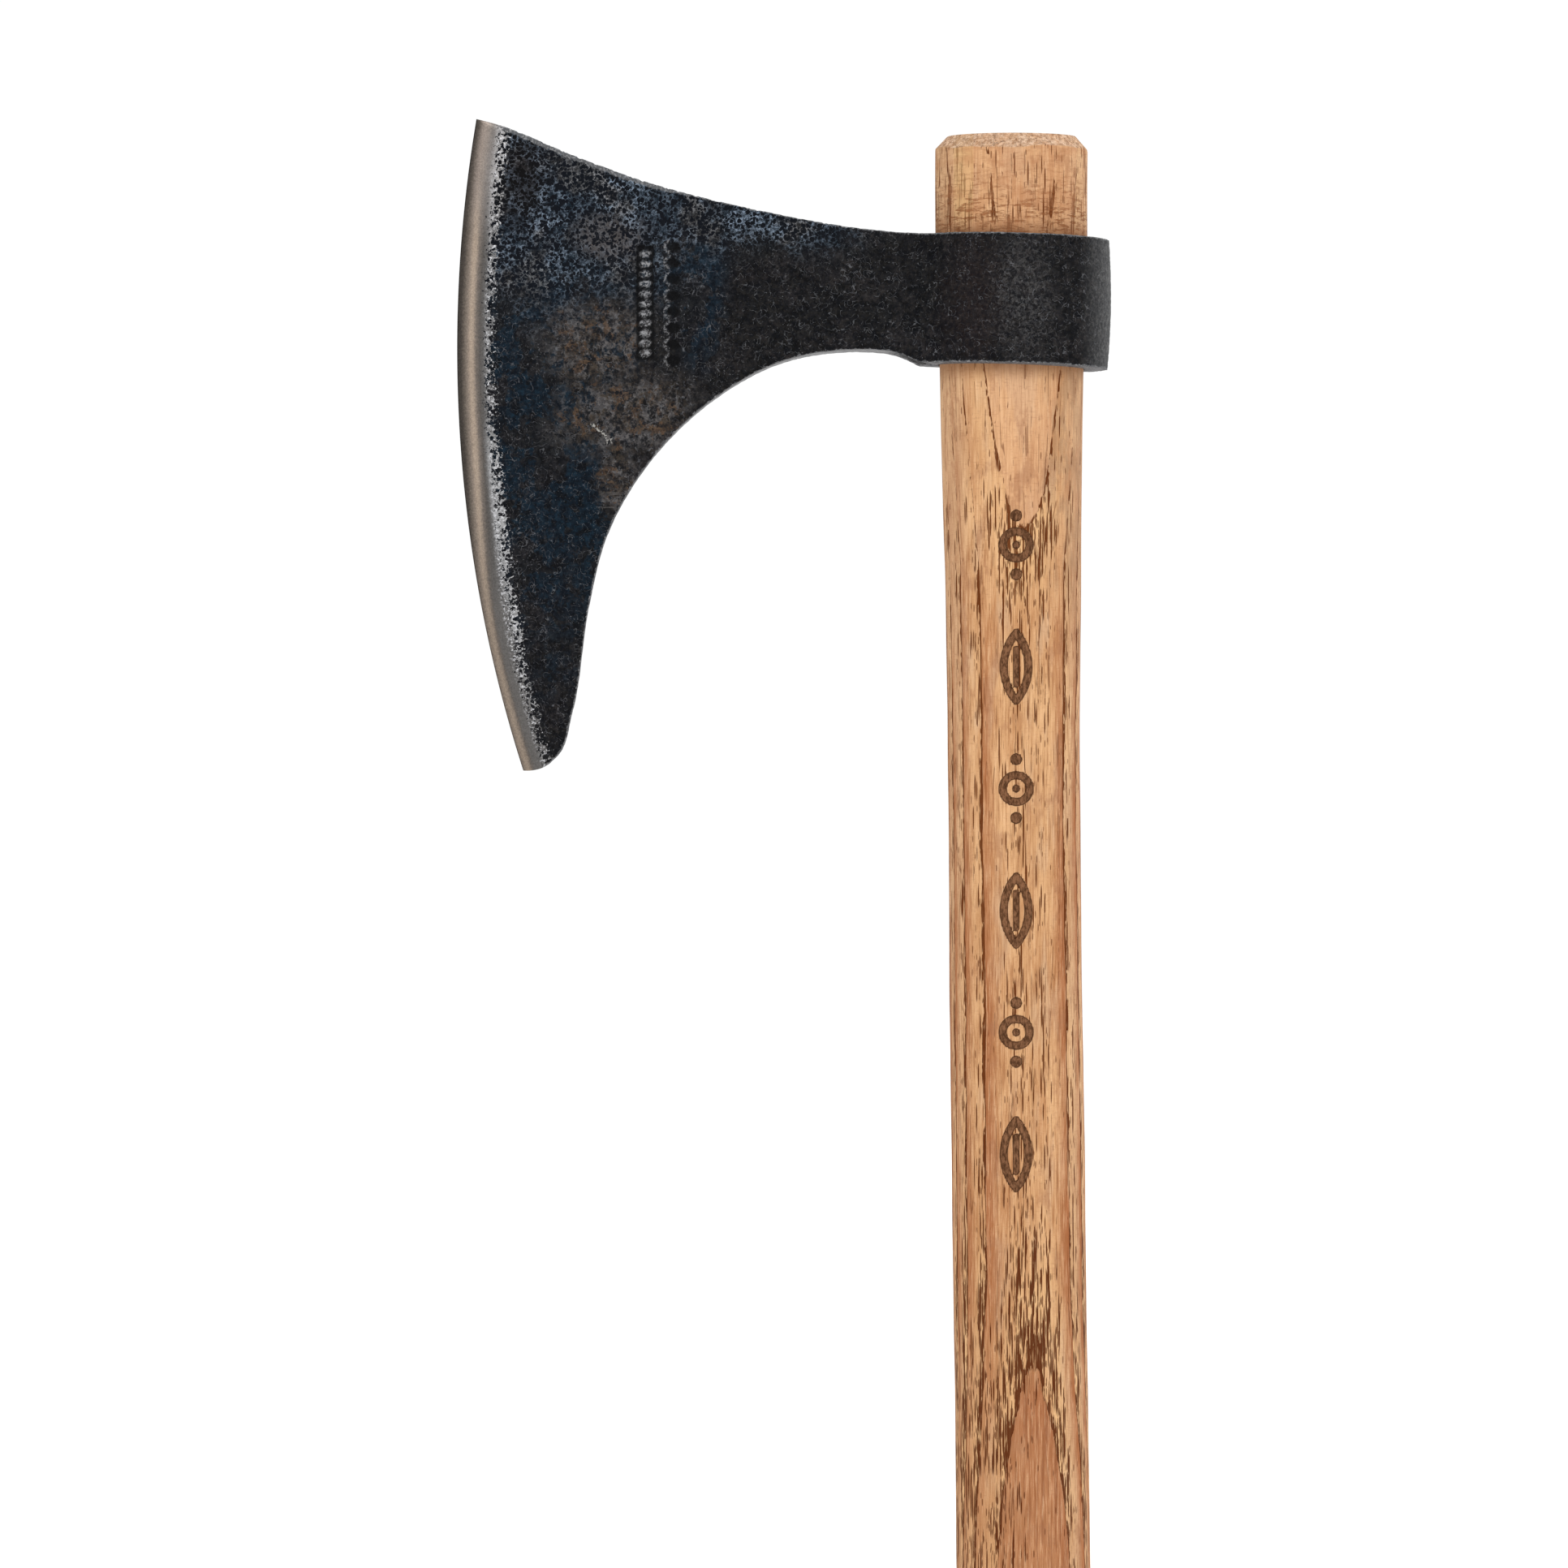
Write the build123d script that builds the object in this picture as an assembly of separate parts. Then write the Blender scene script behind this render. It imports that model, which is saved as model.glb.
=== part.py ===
"""Bearded carving hatchet: a forged steel head on a straight slip-fit haft.

The haft is an oval hickory bar that grows wider towards its crown. The head is pushed on over
the foot, slides up the haft and jams where the tapered eye meets the taper of the wood, so
there is no wedge, pin or screw.

Frame, millimetres: the origin is the centre of the haft's foot, +Z runs up the haft, the
cutting edge faces -X, and Y is the thickness. Shapes of the head are drawn in the head's own
frame, whose origin is the middle of the eye, and are moved into place at the end.
"""

from build123d import *
import math
import os

# Haft
HAFT_LENGTH = 500.0
OVALITY = 0.755  # thickness over width, the same all along the haft
CHAMFER_HEIGHT = 3.0
CHAMFER_INSET = 2.7
EYE_X = -4.7
EYE_Z = 456.7

# Height, half width and sideways place of the haft's sections between foot and eye. The bar
# bows a little towards the edge side as it rises, as split hickory does.
FOOT_SECTION = (CHAMFER_HEIGHT, 17.9, 0.0)
SHAFT_SECTIONS = [
    (126.0, 17.6, -1.5),
    (230.0, 17.5, -2.9),
    (290.0, 17.4, -3.7),
    (349.0, 17.4, -4.1),
    (387.0, 17.85, -4.3),
    (409.0, 18.3, -4.5),
]

# Eye: a tapered oval, wider at the top
EYE_HEIGHT = 33.8
EYE_TOP_HALF_WIDTH = 20.0
EYE_BOTTOM_HALF_WIDTH = 18.95
EYE_CLEARANCE = 0.1

# Barrel: the ring of steel round the eye, an oval that is fullest near its middle
BARREL_X = 0.6
BARREL_OVALITY = 0.78
BARREL_SECTIONS = [(-19.0, 24.5), (2.0, 25.5), (19.0, 24.7)]  # height, half length
BARREL_TOP = [(-24.5, 17.6), (25.3, 16.4)]
BARREL_BOTTOM = [(25.0, -17.6), (-24.7, -16.2)]
POLL_X = 28.0  # just outside the poll

# Cutting edge: one circular arc from heel to toe, ground from both sides
EDGE_RADIUS = 360.0
EDGE_REACH = 144.8
EDGE_CENTRE_X = EDGE_RADIUS - EDGE_REACH
EDGE_CENTRE_Z = -12.0
TOE_Z = 48.0
HEEL_Z = -122.2
EDGE_HALF_THICKNESS = 0.04
MICRO_BEVEL = (1.2, 0.4)  # width, half thickness where it ends
BEVEL_SLOPE = 0.2
BEVEL_REACH = 25.0

# Side view of the blade: top edge from toe to barrel, lug under the barrel, hollow of the beard
TOP_EDGE = [(-133.5, 46.3), (-115.4, 38.9), (-97.8, 32.3), (-64.6, 23.7), (-39.3, 19.1)]
LUG_END = (-32.1, -13.2)
LUG_RISES = (0.75, 0.15)  # steepness of its underside where it leaves the barrel and at its end
BEARD_HOLLOW = [
    (-43.6, -12.8),
    (-60.5, -15.9),
    (-77.5, -25.3),
    (-94.4, -41.7),
    (-105.4, -60.5),
    (-110.3, -79.6),
    (-114.6, -107.0),
]
BEARD_TIP = [(-118.3, -118.2), (-122.6, -121.5)]

# Plan view of the blade: distance from the eye and half thickness, from beyond the edge to the
# flank of the barrel
NECK_PLAN = [
    (-152.0, 1.45),
    (-125.0, 2.35),
    (-100.0, 3.1),
    (-74.0, 3.95),
    (-52.0, 4.95),
    (-38.0, 6.1),
    (-28.0, 8.0),
    (-19.0, 12.4),
]
# Height and the share of that thickness the forging keeps there
BLADE_LEVELS = [(-126.0, 0.66), (-19.0, 1.0), (19.0, 1.0), (51.0, 0.82)]
BLANK_HALF_DEPTH = 24.0  # more than half the barrel's thickness
OVERRUN = 1.0  # how far the grinding tool reaches past the edge


def oval(section, ovality, growth=0.0):
    """A flat oval from a (height, half width, sideways place), made larger by growth."""
    height, half_width, centre_x = section
    plane = Plane(origin=(centre_x, 0, height))
    return plane * Ellipse(half_width + growth, half_width * ovality + growth)


def eye_section(z, centre_x, raised=0.0):
    """The taper of the eye at height z of the head's frame, as a section for oval."""
    share = z / EYE_HEIGHT + 0.5
    half_width = EYE_BOTTOM_HALF_WIDTH + share * (EYE_TOP_HALF_WIDTH - EYE_BOTTOM_HALF_WIDTH)
    return (z + raised, half_width, centre_x)


def haft():
    """The oval bar with chamfered ends and the taper that the head jams on."""
    _, foot_half_width, foot_x = FOOT_SECTION
    sections = [
        (0.0, foot_half_width - CHAMFER_INSET, foot_x),
        FOOT_SECTION,
        *SHAFT_SECTIONS,
        eye_section(-EYE_HEIGHT / 2, EYE_X, EYE_Z),
        eye_section(EYE_HEIGHT / 2, EYE_X, EYE_Z),
        (HAFT_LENGTH - CHAMFER_HEIGHT, EYE_TOP_HALF_WIDTH, EYE_X),
        (HAFT_LENGTH, EYE_TOP_HALF_WIDTH - CHAMFER_INSET, EYE_X),
    ]
    return loft([oval(section, OVALITY) for section in sections], ruled=True)


def edge_point(z):
    """The point (x, z) of the cutting edge at height z."""
    drop = math.sqrt(EDGE_RADIUS**2 - (z - EDGE_CENTRE_Z) ** 2)
    return (EDGE_CENTRE_X - drop, z)


def upright(points):
    """Points (x, z) of the side view, as points in space."""
    return [(x, 0, z) for x, z in points]


def side_view():
    """The head seen from the side, as a face. It runs past the poll, which the barrel rounds."""
    toe, heel = edge_point(TOE_Z), edge_point(HEEL_Z)
    apex = (-EDGE_REACH, EDGE_CENTRE_Z)
    top_front, top_back = BARREL_TOP
    bottom_back, bottom_front = BARREL_BOTTOM
    edges = [
        ThreePointArc(*upright([heel, apex, toe])),
        Spline(*upright([toe, *TOP_EDGE, top_front])),
        Polyline(
            *upright([top_front, top_back, (POLL_X, top_back[1])]),
            *upright([(POLL_X, bottom_back[1]), bottom_back, bottom_front]),
        ),
        Spline(*upright([bottom_front, LUG_END]), tangents=[(-1, 0, rise) for rise in LUG_RISES]),
        Spline(*upright([LUG_END, *BEARD_HOLLOW])),
        Spline(*upright([BEARD_HOLLOW[-1], *BEARD_TIP, heel])),
    ]
    return make_face(edges)


def neck_face(z, share):
    """The blade and neck seen from above, as a face at height z."""
    far = [(x, y * share, z) for x, y in NECK_PLAN]
    near = [(x, -y * share, z) for x, y in NECK_PLAN]
    barrel_end = [far[-1], (BARREL_X, 0, z), near[-1]]
    edges = [Spline(*far), Polyline(*barrel_end), Spline(*near), Line(near[0], far[0])]
    return make_face(edges)


def blank():
    """Blade, neck and barrel in full height, before the side view is cut."""
    levels = [neck_face(z, share) for z, share in BLADE_LEVELS]
    barrel = [oval((z, half_length, BARREL_X), BARREL_OVALITY) for z, half_length in BARREL_SECTIONS]
    body = loft(barrel)
    for below, above in zip(levels, levels[1:]):
        body += loft([below, above], ruled=True)
    return body


def bevel_cutter(side):
    """A ring round the axis of the edge arc that grinds one flank down to the edge."""
    width, half_thickness = MICRO_BEVEL
    top = half_thickness + BEVEL_SLOPE * (BEVEL_REACH - width)
    profile = [
        (EDGE_RADIUS + OVERRUN, EDGE_HALF_THICKNESS),
        (EDGE_RADIUS, EDGE_HALF_THICKNESS),
        (EDGE_RADIUS - width, half_thickness),
        (EDGE_RADIUS - BEVEL_REACH, top),
        (EDGE_RADIUS + OVERRUN, top),
    ]
    corners = [(EDGE_CENTRE_X - radius, side * y, EDGE_CENTRE_Z) for radius, y in profile]
    axis = Axis((EDGE_CENTRE_X, 0, EDGE_CENTRE_Z), (0, 1, 0))
    return revolve(make_face(Polyline(*corners, close=True)), axis=axis)


def eye_tool():
    """The tapered oval taken out of the barrel, run past both of its faces."""
    ends = [eye_section(z, 0.0) for z in (-EYE_HEIGHT, EYE_HEIGHT)]
    return loft([oval(end, OVALITY, EYE_CLEARANCE) for end in ends], ruled=True)


def axe_head():
    """The forged head, at its place on the haft."""
    head = extrude(side_view(), amount=BLANK_HALF_DEPTH, dir=(0, 1, 0), both=True) & blank()
    for tool in (bevel_cutter(1), bevel_cutter(-1), eye_tool()):
        head -= tool
    return Pos(EYE_X, 0, EYE_Z) * head


os.makedirs("parts", exist_ok=True)
for name, part in {"haft": haft(), "axe_head": axe_head()}.items():
    export_step(part, f"parts/{name}.step")
    box = part.bounding_box()
    print(f"{name}: {part.volume / 1000:.1f} cm3, {box.min} to {box.max}, valid {part.is_valid}")
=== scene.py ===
"""Looks of the bearded carving hatchet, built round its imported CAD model.

Both CAD solids are replaced by finished surfaces: a forged head with scale pits, a ground edge and
a plain stamp, and a hickory haft with burned ornament. Everything is in metres, in the model's own
frame: +Z runs up the haft, the cutting edge faces -X and the side that is seen first faces -Y.
"""

import math

import bmesh
import bpy
import numpy as np
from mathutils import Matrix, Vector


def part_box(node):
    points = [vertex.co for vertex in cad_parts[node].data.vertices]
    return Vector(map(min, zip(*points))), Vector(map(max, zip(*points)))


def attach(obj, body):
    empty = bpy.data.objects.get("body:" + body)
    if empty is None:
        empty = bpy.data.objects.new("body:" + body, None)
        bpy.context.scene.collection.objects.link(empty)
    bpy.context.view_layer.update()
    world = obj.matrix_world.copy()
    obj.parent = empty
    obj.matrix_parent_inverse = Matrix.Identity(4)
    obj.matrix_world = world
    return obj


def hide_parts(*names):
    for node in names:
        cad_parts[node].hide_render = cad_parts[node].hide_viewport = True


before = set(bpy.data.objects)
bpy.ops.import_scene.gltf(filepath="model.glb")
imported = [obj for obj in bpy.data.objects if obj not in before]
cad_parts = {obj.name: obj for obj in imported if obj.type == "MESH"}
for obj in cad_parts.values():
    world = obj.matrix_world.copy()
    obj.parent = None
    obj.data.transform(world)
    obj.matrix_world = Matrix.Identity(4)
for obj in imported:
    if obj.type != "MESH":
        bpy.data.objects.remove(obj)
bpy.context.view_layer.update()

HEAD_LOW, HEAD_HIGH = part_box("axe_head")
CROWN_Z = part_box("haft")[1].z
MM = 0.001

# -------- head: driving dimensions
# Places on the head are (x, z) or (x, y) from the middle of the eye.
EDGE_REACH = 144.8 * MM
EDGE_RADIUS = 360.0 * MM
EDGE_CENTRE = np.array([EDGE_RADIUS - EDGE_REACH, -12.0 * MM])
TOE_Z = 48.0 * MM
HEEL_Z = -122.2 * MM
EYE_X = HEAD_LOW.x + EDGE_REACH
EYE_Z = HEAD_HIGH.z - TOE_Z
MICRO_BEVEL_WIDTH = 1.2 * MM
MICRO_BEVEL_HALF = 0.4 * MM  # half thickness where the micro bevel ends
BEVEL_WIDTH = 9.0 * MM
BEVEL_SLOPE = 0.2
BEVEL_CROWN = 0.16 * MM  # how far the bevel bulges
TOP_EDGE = MM * np.array([
    (-133.5, 46.3), (-115.4, 38.9), (-97.8, 32.3), (-64.6, 23.7), (-39.3, 19.1),
])
BARREL_TOP = MM * np.array([(-24.5, 17.6), (28.0, 16.35)])
BARREL_BOTTOM = MM * np.array([(-24.7, -16.2), (28.0, -17.7)])
LUG_END = MM * np.array([-32.1, -13.2])
LUG_MIDDLE = MM * np.array([-28.8, -14.2])
BEARD_HOLLOW = MM * np.array([
    (-43.6, -12.8), (-60.5, -15.9), (-77.5, -25.3), (-94.4, -41.7),
    (-105.4, -60.5), (-110.3, -79.6), (-114.6, -107.0),
])
BEARD_TIP = MM * np.array([(-118.3, -118.2), (-122.6, -121.5)])
NECK_PLAN = MM * np.array([
    (-152.0, 1.45), (-125.0, 2.35), (-100.0, 3.1), (-74.0, 3.95),
    (-52.0, 4.95), (-38.0, 6.1), (-28.0, 8.0), (-19.0, 12.4),
])
LEVEL_Z = MM * np.array([-126.0, -19.0, 19.0, 51.0])
LEVEL_THICKNESS = [0.66, 1.0, 1.0, 0.82]  # share of the plan's thickness kept at these heights
BARREL_X = 0.6 * MM
BARREL_LENGTH = 25.5 * MM  # half its length at its fullest height
BARREL_OVALITY = 0.78
BARREL_FULL_Z = 2.0 * MM
BARREL_CROWN = 2.5
RIM = 0.6 * MM  # radius that the outline's rims are worn to
RIM_GAPS = RIM * np.array([0.0, 0.12, 0.45, 1.0])
RIM_CELLS = len(RIM_GAPS) - 1
JOIN_RADIUS = 240.5 * MM  # the last arc of the blade, from the centre of the edge
EYE_RIM = 0.4 * MM
WALL_CELLS = 4  # between flank and eye
EYE_ROWS = 12

# -------- haft: driving dimensions
OVALITY = 0.755
EYE_HALF_HEIGHT = 16.9 * MM
EYE_BOTTOM_WIDTH = 18.95 * MM
EYE_TOP_WIDTH = 20.0 * MM
EYE_CLEARANCE = 0.1 * MM
# Height, half width and sideways place of the haft's sections, before its ends are chamfered
HAFT_SECTIONS = MM * np.array([
    (0.0, 17.9, 0.0), (126.0, 17.6, -1.5), (230.0, 17.5, -2.9), (290.0, 17.4, -3.7),
    (349.0, 17.4, -4.1), (387.0, 17.85, -4.3), (409.0, 18.3, -4.5), (439.8, 18.95, -4.7),
    (473.6, 20.0, -4.7), (500.0, 20.0, -4.7),
])
CHAMFER_HEIGHT = 3.0 * MM
CHAMFER_INSET = 2.7 * MM
CROWN_CUT = 3.5 * MM  # height of the hand-cut chamfer
CROWN_INSET = 3.2 * MM
WAVE_DEPTH = 0.25 * MM  # of the skin's slow waves
ORNAMENT_X = -3.9 * MM
ORNAMENT_PLACES = [(0.393 - 0.0316 * i, "leaf" if i % 2 else "ring") for i in range(6)]
RING_RADIUS = 3.5 * MM
DOT_OFFSET = 7.6 * MM  # from a ring's centre to the dots above and below it
LEAF_HALF_LENGTH = 8.8 * MM
LEAF_HALF_WIDTH = 3.2 * MM
RIB_HALF_LENGTH = 4.6 * MM
STROKE = 0.88 * MM  # half width of a burned line
BURN_DEPTH = 0.35 * MM

# -------- stamp on the blade
STAMP_BAR = MM * np.array([(-98.1, -15.3), (-93.1, 15.1)])  # its lower left and upper right
BEAD_PITCH = 2.64 * MM
DIMPLES = MM * np.array([-88.3, -17.3, 18.7])  # x of the row, and its lowest and highest z
DIMPLE_PITCH = 4.0 * MM
STAMP_DEPTH = 0.45 * MM

# -------- patterns in steel and wood
PITS_PER_METRE = 1020
SCRATCH = MM * np.array([(-109.8, -31.3), (-104.2, -36.9)])
# Middle and half sizes, in x and z, of the brown and rusty spots on the blade
BROWN_SPOTS = MM * np.array([
    (-108.0, -11.0, 12.0, 11.5), (-101.0, -29.0, 16.0, 11.0), (-105.0, 17.0, 8.0, 6.0),
    (-102.5, -46.0, 5.5, 6.5),
])
# Painted reflections of the convex bevel: colours from the cutting edge inwards, at shares of this
# width, on most of the edge and at its toe
GRIND_WIDTH = 12 * MM
GRIND_REFLECTION_STOPS = [
    (0.0, 0.052, 0.045, 0.039), (0.07, 0.062, 0.053, 0.046), (0.13, 0.120, 0.100, 0.084),
    (0.20, 0.215, 0.176, 0.146), (0.28, 0.365, 0.292, 0.230), (0.33, 0.335, 0.270, 0.215),
    (0.40, 0.160, 0.136, 0.119), (0.48, 0.098, 0.089, 0.083), (0.55, 0.110, 0.105, 0.102),
    (0.64, 0.190, 0.187, 0.188), (1.0, 0.180, 0.180, 0.185),
]
TOE_REFLECTION_STOPS = [
    (0.0, 0.052, 0.045, 0.039), (0.10, 0.062, 0.053, 0.046), (0.16, 0.110, 0.092, 0.079),
    (0.22, 0.205, 0.170, 0.148), (0.28, 0.270, 0.225, 0.195), (0.36, 0.255, 0.218, 0.192),
    (0.46, 0.205, 0.185, 0.173), (0.51, 0.205, 0.190, 0.182), (0.58, 0.320, 0.308, 0.305),
    (0.64, 0.340, 0.330, 0.328), (1.0, 0.300, 0.300, 0.300),
]
RING_WIDTH = 3.6 * MM  # of a growth ring
LOWER_TIP_Z = 188.5 * MM  # tips of the two tongues in the grain
UPPER_TIP_Z = 398.0 * MM


def lengths(line):
    """How far along a line each of its points lies."""
    return np.concatenate([[0.0], np.cumsum(np.linalg.norm(np.diff(line, axis=0), axis=1))])


def smooth_path(points, steps=60):
    """A dense smooth line through the given points, by cubic pieces."""
    points = np.asarray(points, float)
    knots = lengths(points)
    slopes = np.gradient(points, knots, axis=0, edge_order=2)
    t = np.linspace(0, 1, steps, endpoint=False)[:, None]
    pieces = [
        (2 * t**3 - 3 * t**2 + 1) * points[i]
        + (t**3 - 2 * t**2 + t) * gap * slopes[i]
        + (3 * t**2 - 2 * t**3) * points[i + 1]
        + (t**3 - t**2) * gap * slopes[i + 1]
        for i, gap in enumerate(np.diff(knots))
    ]
    return np.vstack([*pieces, points[-1:]])


def smoothstep(low, high, value):
    """0 at low, 1 at high and an even S between them; low may be above high."""
    t = np.clip((value - low) / (high - low), 0, 1)
    return t * t * (3 - 2 * t)


# -------- head: outline and thickness


def edge_point(z):
    """The point (x, z) of the cutting edge at height z."""
    drop = math.sqrt(EDGE_RADIUS**2 - (z - EDGE_CENTRE[1]) ** 2)
    return np.array([EDGE_CENTRE[0] - drop, z])


def plan_line():
    """Half the plan of the head, from beyond the edge, along the neck and round to the poll."""
    join = math.acos((NECK_PLAN[-1, 0] - BARREL_X) / BARREL_LENGTH)
    angle = np.linspace(join, 0, 240)
    x = BARREL_X + BARREL_LENGTH * np.cos(angle)
    y = BARREL_LENGTH * BARREL_OVALITY * np.sin(angle)
    return np.vstack([smooth_path(NECK_PLAN)[:-1], np.stack([x, y], axis=1)])


TOP_LINE = np.vstack([smooth_path([edge_point(TOE_Z), *TOP_EDGE, BARREL_TOP[0]]), BARREL_TOP[1]])
BOTTOM_LINE = np.vstack([
    smooth_path([edge_point(HEEL_Z), *BEARD_TIP[::-1], *BEARD_HOLLOW[::-1], LUG_END])[:-1],
    smooth_path([LUG_END, LUG_MIDDLE, BARREL_BOTTOM[0]]),
    BARREL_BOTTOM[1],
])
PLAN = plan_line()
PLAN_LENGTH = lengths(PLAN)
PLAN_TURN = np.gradient(PLAN, PLAN_LENGTH, axis=0)
WIDEST = np.argmax(PLAN[:, 1])  # up to here the plan's x only grows


def on_plan(along, values=PLAN):
    """The point of the plan line this far along it, or its direction there, given PLAN_TURN."""
    return [np.interp(along, PLAN_LENGTH, values[:, i]) for i in (0, 1)]


def along_plan(x):
    """How far along the plan line the flank has this x, for any x short of the barrel's middle."""
    return np.interp(x, PLAN[:WIDEST, 0], PLAN_LENGTH[:WIDEST])


def outline_at(line, radius):
    """The point of an outline at this distance from the centre of the edge's arc."""
    away = np.linalg.norm(line - EDGE_CENTRE, axis=1)
    return np.array([np.interp(radius, away[::-1], line[::-1, i]) for i in (0, 1)])


def slant(line, radius):
    """Sine of the angle at which the arc of this radius meets an outline."""
    step = 0.4 * MM
    run = outline_at(line, radius - step) - outline_at(line, radius + step)
    return max(0.3, 2 * step / np.linalg.norm(run))


def grind(radius):
    """Half thickness that the ground bevels leave at this distance from the edge's centre."""
    depth = EDGE_RADIUS - radius
    if depth < MICRO_BEVEL_WIDTH:
        return MICRO_BEVEL_HALF * depth / MICRO_BEVEL_WIDTH
    depth -= MICRO_BEVEL_WIDTH
    share = min(1.0, depth / (BEVEL_WIDTH - MICRO_BEVEL_WIDTH))
    return MICRO_BEVEL_HALF + BEVEL_SLOPE * depth + BEVEL_CROWN * math.sin(math.pi * share)


def flank(along, z, gap, most=math.inf):
    """Points of the -Y side: along the plan line, at height z and gap away from the outline."""
    x, y = on_plan(along)
    y = np.minimum(y * np.interp(z, LEVEL_Z, LEVEL_THICKNESS), most)
    worn = np.minimum(RIM, 0.5 * y)
    short = np.clip(1 - gap / np.maximum(worn, 1e-9), 0, 1)
    inset = worn * (1 - np.sqrt(1 - short**2))
    turn_x, turn_y = on_plan(along, PLAN_TURN)
    turn = np.hypot(turn_x, turn_y)
    fade = smoothstep(-38 * MM, -10 * MM, x)
    crown = 1 - fade * BARREL_CROWN * (z - BARREL_FULL_Z) ** 2 / BARREL_LENGTH
    x = BARREL_X + (x - BARREL_X) * crown + inset * turn_y / turn
    return np.stack([x, -(y * crown - inset * turn_x / turn), z], axis=-1)


class Column:
    """Where the vertices of one column of the flank lie, before they are put in space."""

    def __init__(self, along, z, gap, most=math.inf):
        self.along, self.z, self.gap = along, z, gap
        self.points = flank(along, z, gap, most)


def blade_column(radius, rows):
    """An arc about the edge's centre, from the lower outline to the upper one."""
    turns, slants = [], []
    for line in (BOTTOM_LINE, TOP_LINE):
        spoke = outline_at(line, radius) - EDGE_CENTRE
        turns.append(math.atan2(spoke[1], -spoke[0]))
        slants.append(slant(line, radius))
    length = radius * (turns[1] - turns[0])
    low, high = RIM_GAPS / slants[0], length - RIM_GAPS[::-1] / slants[1]
    place = np.concatenate([low[:-1], np.linspace(low[-1], high[0], rows + 1), high[1:]])
    turn = turns[0] + place / radius
    x = EDGE_CENTRE[0] - radius * np.cos(turn)
    z = EDGE_CENTRE[1] + radius * np.sin(turn)
    gap = np.minimum(place * slants[0], (length - place) * slants[1])
    return Column(along_plan(x), z, gap, grind(radius))


def height_limits(x):
    """Heights of the lower and upper outline at x."""
    return [np.interp(x, line[:, 0], line[:, 1]) for line in (BOTTOM_LINE, TOP_LINE)]


def barrel_column(join, share):
    """The column this share of the way from the blade's last one round to the poll."""
    low, high = height_limits(on_plan(join.along)[0])
    level = (join.z - low) / (high - low)
    along = join.along * (1 - share) + PLAN_LENGTH[-1] * share
    low, high = height_limits(on_plan(along)[0])
    z = low + level * (high - low)
    gap = join.gap * (1 - share) + np.minimum(z - low, high - z) * share
    return Column(along, z, gap)


def steps(start, end, size):
    """Even steps of about this size from start up to, not including, end."""
    return np.linspace(start, end, max(2, round(abs(end - start) / size)), endpoint=False)


def blade_columns():
    """The blade's columns with the rows of each: finer where the blade is tall and where it is
    ground or stamped."""
    # Start and end behind the edge and distance between columns, in millimetres, and rows
    spans = [
        (0.0, 1.2, 0.3, 280), (1.2, 11.0, 0.42, 280), (11.0, 31.0, 0.5, 280), (31.0, 45.0, 0.55, 140),
        (45.0, 61.0, 0.33, 140), (61.0, 74.0, 0.55, 140), (74.0, 119.5, 0.6, 70),
    ]
    columns = []
    for start, end, size, rows in spans:
        columns += [blade_column(EDGE_RADIUS - depth * MM, rows) for depth in steps(start, end, size)]
    return [*columns, blade_column(JOIN_RADIUS, spans[-1][-1])]


def eye_oval(angle, z, rim=0.0):
    """Points of the eye's wall on the -Y side, from angle 0 at the poll to pi at the neck."""
    share = z / (2 * EYE_HALF_HEIGHT) + 0.5
    width = EYE_BOTTOM_WIDTH + share * (EYE_TOP_WIDTH - EYE_BOTTOM_WIDTH)
    growth = EYE_CLEARANCE + rim
    x = (width + growth) * np.cos(angle)
    y = -(width * OVALITY + growth) * np.sin(angle)
    return np.stack([x, y, z], axis=-1)


def end_face(blade, barrel, row, side):
    """Half of the head's top or bottom face: a strip along the neck, then half a ring round the
    eye. It joins this row of the flank's columns. Returns its patches and the eye's rim."""
    angle = np.linspace(math.pi, 0, len(barrel))
    rim_z = height_limits(EYE_TOP_WIDTH * np.cos(angle))[side]
    inner = eye_oval(angle, rim_z, EYE_RIM)
    outer = np.array([column.points[row] for column in barrel])
    reach = inner[0] - outer[0] * (1, 0, 1)
    share = np.linspace(0, 1, WALL_CELLS + 1)[:, None]
    strip = []
    for column in blade:
        near = column.points[row]
        pull = smoothstep(outer[0, 0] - 15 * MM, outer[0, 0], near[0])
        middle = near * (1, 0, 1) + reach * pull
        strip.append(near * (1 - share) + middle * share)
    ring = [start * (1 - share) + end * share for start, end in zip(outer, inner)]
    return [strip, ring], inner


def eye_wall(top, bottom):
    """Half of the eye's wall, between the points of its two rims."""
    angle = np.linspace(math.pi, 0, len(top))
    wall = []
    for turn, high, low in zip(angle, top, bottom):
        z = np.linspace(high[2] - EYE_RIM, low[2] + EYE_RIM, EYE_ROWS)
        wall.append(np.vstack([high, eye_oval(turn, z), low]))
    return wall


def head_patches():
    """The -Y half of the head as patches, each a list of columns of points."""
    blade = blade_columns()
    barrel = [barrel_column(blade[-1], share) for share in np.linspace(0, 1, 66)]
    top, top_rim = end_face(blade, barrel, -1, 1)
    bottom, bottom_rim = end_face(blade, barrel, 0, 0)
    sides = [[column.points for column in blade], [column.points for column in barrel]]
    return [*sides, *top, *bottom, eye_wall(top_rim, bottom_rim)]


# -------- meshes from columns


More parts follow.
